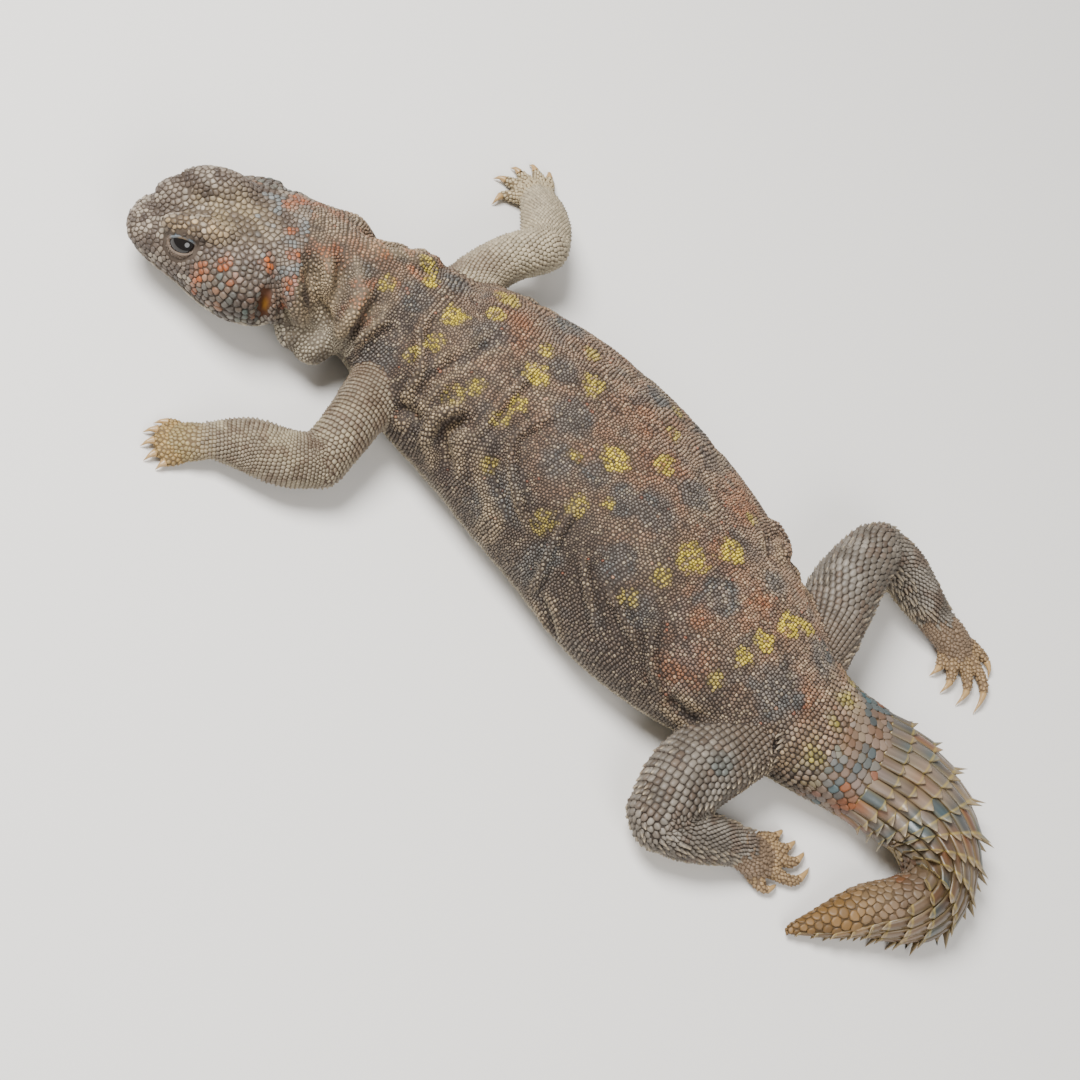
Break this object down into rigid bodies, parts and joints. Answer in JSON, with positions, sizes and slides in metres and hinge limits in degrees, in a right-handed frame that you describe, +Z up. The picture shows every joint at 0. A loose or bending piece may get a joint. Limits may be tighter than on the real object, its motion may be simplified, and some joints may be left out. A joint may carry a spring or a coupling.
{
  "type": "uromastyx lizard figure",
  "caption": "Life-size still model of a spiny-tailed lizard resting on its belly, head turned to its left and banded spiny tail curled round to the left.",
  "frame": {"origin": "on the floor under the middle of the belly", "axes": "+X runs forward to the head, +Y to the animal's left, +Z up"},
  "size_m": [0.2043, 0.1119, 0.0272],
  "materials": {
    "head_skin": "dry, horny plates and granules in grey-tan with orange flecks",
    "body_skin": "fine matt scales in taupe with yellow eye-spots in dark rings",
    "tail_skin": "large keeled spiny scales in rings, tan with teal and orange patches",
    "limb_skin": "dry, keeled grey-tan scales",
    "paw_skin": "small tan scales, with horn claws",
    "eye": "wet, near-black"
  },
  "bodies": {
    "root": {"head": "head_skin", "eye_left": "eye", "eye_right": "eye", "neck": "body_skin", "torso": "body_skin", "tail_root": "tail_skin", "tail_fore": "tail_skin", "tail_bend": "tail_skin", "tail_tip": "tail_skin", "upper_arm_left": "limb_skin", "forearm_left": "limb_skin", "hand_left": "paw_skin", "upper_arm_right": "limb_skin", "forearm_right": "limb_skin", "hand_right": "paw_skin", "thigh_left": "limb_skin", "shin_left": "limb_skin", "foot_left": "paw_skin", "thigh_right": "limb_skin", "shin_right": "limb_skin", "foot_right": "paw_skin"}
  },
  "joints": []
}
